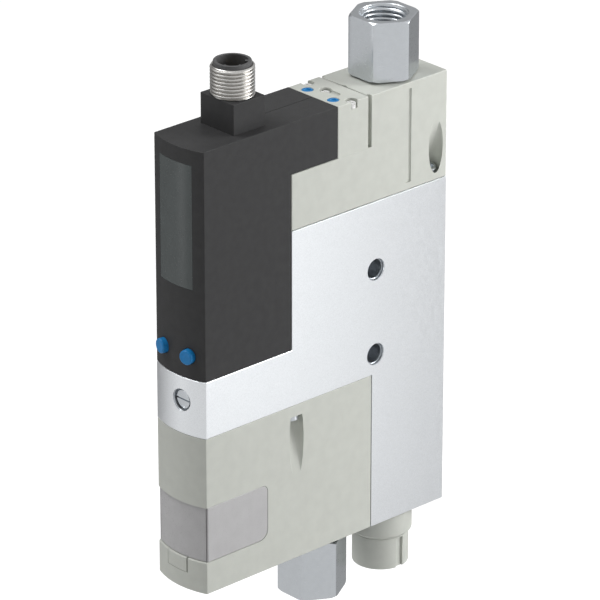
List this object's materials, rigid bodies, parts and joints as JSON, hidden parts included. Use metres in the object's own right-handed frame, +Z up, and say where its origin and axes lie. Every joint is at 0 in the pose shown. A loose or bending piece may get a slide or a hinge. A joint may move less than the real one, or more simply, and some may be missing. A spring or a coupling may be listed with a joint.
{
  "type": "vacuum generator",
  "caption": "Slim in-line vacuum ejector block with switch display, round plug, pilot valves, filter, check valve, threaded ports and silencer.",
  "frame": {"origin": "centre of the pattern of mounting holes, midway through the width", "axes": "+X across the width, square to the mounting faces; the display faces -Y; +Z up from the vacuum port to the supply port"},
  "size_m": [0.02, 0.0924, 0.1664],
  "materials": {
    "anodised_aluminium": "satin, clear anodised",
    "steel": "turned, zinc plated",
    "brass": "machined",
    "nickel": "nickel plated",
    "gold": "gold plated",
    "copper": "moulded coil",
    "grey_plastic": "fine texture",
    "black_plastic": "fine texture",
    "window_plastic": "slightly clear",
    "blue_plastic": "smooth",
    "display_pane": "smooth, tinted",
    "display_dark": "smooth",
    "board": "coated",
    "seal_rubber": "smooth",
    "filter_felt": "porous"
  },
  "bodies": {
    "main": {"manifold_body": "anodised_aluminium", "lower_mounting_sleeve": "steel", "upper_mounting_sleeve": "steel", "upper_housing_screws": "steel", "lower_housing_screws": "steel", "valve_screws": "steel", "supply_port_sleeve": "steel", "vacuum_port_sleeve": "steel", "check_spring": "steel", "supply_valve_spring": "steel", "ejector_valve_spring": "steel", "jet_nozzle": "brass", "receiver_nozzle": "brass", "plug_sleeve": "nickel", "plug_pins": "gold", "supply_valve_coil": "copper", "ejector_valve_coil": "copper", "lower_housing": "grey_plastic", "rear_housing": "grey_plastic", "valve_block": "grey_plastic", "silencer_housing": "grey_plastic", "switch_housing": "black_plastic", "plug_base": "black_plastic", "plug_insert": "black_plastic", "key_switch_left": "black_plastic", "key_switch_right": "black_plastic", "pressure_sensor": "black_plastic", "filter_cover": "window_plastic", "display_window": "display_pane", "display_module": "display_dark", "circuit_board": "board", "filter_element": "filter_felt", "silencer_insert": "filter_felt"},
    "left_key": {"button_left": "blue_plastic"},
    "right_key": {"button_right": "blue_plastic"},
    "supply_pin": {"supply_override": "blue_plastic"},
    "ejector_pin": {"ejector_override": "blue_plastic"},
    "throttle": {"throttle_screw": "steel"},
    "poppet": {"check_poppet": "seal_rubber"},
    "supply_plunger": {"supply_valve_armature": "steel"},
    "ejector_plunger": {"ejector_valve_armature": "steel"}
  },
  "joints": [
    {"name": "left_key_press", "type": "slide", "parent": "main", "child": "left_key", "axis": [0.1994, 0.9799, 0], "range_m": [0, 0.0005], "stiffness_N_per_m": 1200, "springref_m": -0.0005},
    {"name": "right_key_press", "type": "slide", "parent": "main", "child": "right_key", "axis": [-0.1994, 0.9799, 0], "range_m": [0, 0.0005], "stiffness_N_per_m": 1200, "springref_m": -0.0005},
    {"name": "supply_override_press", "type": "slide", "parent": "main", "child": "supply_pin", "axis": [0, 0, -1], "range_m": [0, 0.0008], "stiffness_N_per_m": 1500, "springref_m": -0.001},
    {"name": "ejector_override_press", "type": "slide", "parent": "main", "child": "ejector_pin", "axis": [0, 0, -1], "range_m": [0, 0.0008], "stiffness_N_per_m": 1500, "springref_m": -0.001},
    {"name": "throttle_turn", "type": "hinge", "parent": "main", "child": "throttle", "pos_m": [0.0022, -0.06, -0.00895], "axis": [0, 1, 0], "range_deg": [-360, 360]},
    {"name": "check_poppet_lift", "type": "slide", "parent": "main", "child": "poppet", "axis": [0, 1, 0], "range_m": [0, 0.0015], "stiffness_N_per_m": 60, "springref_m": -0.002, "deforming": ["check_spring"]},
    {"name": "supply_armature_pull", "type": "slide", "parent": "main", "child": "supply_plunger", "axis": [0, -1, 0], "range_m": [0, 0.0008], "stiffness_N_per_m": 400, "springref_m": -0.002, "deforming": ["supply_valve_spring"]},
    {"name": "ejector_armature_pull", "type": "slide", "parent": "main", "child": "ejector_plunger", "axis": [0, -1, 0], "range_m": [0, 0.0008], "stiffness_N_per_m": 400, "springref_m": -0.002, "deforming": ["ejector_valve_spring"]}
  ]
}
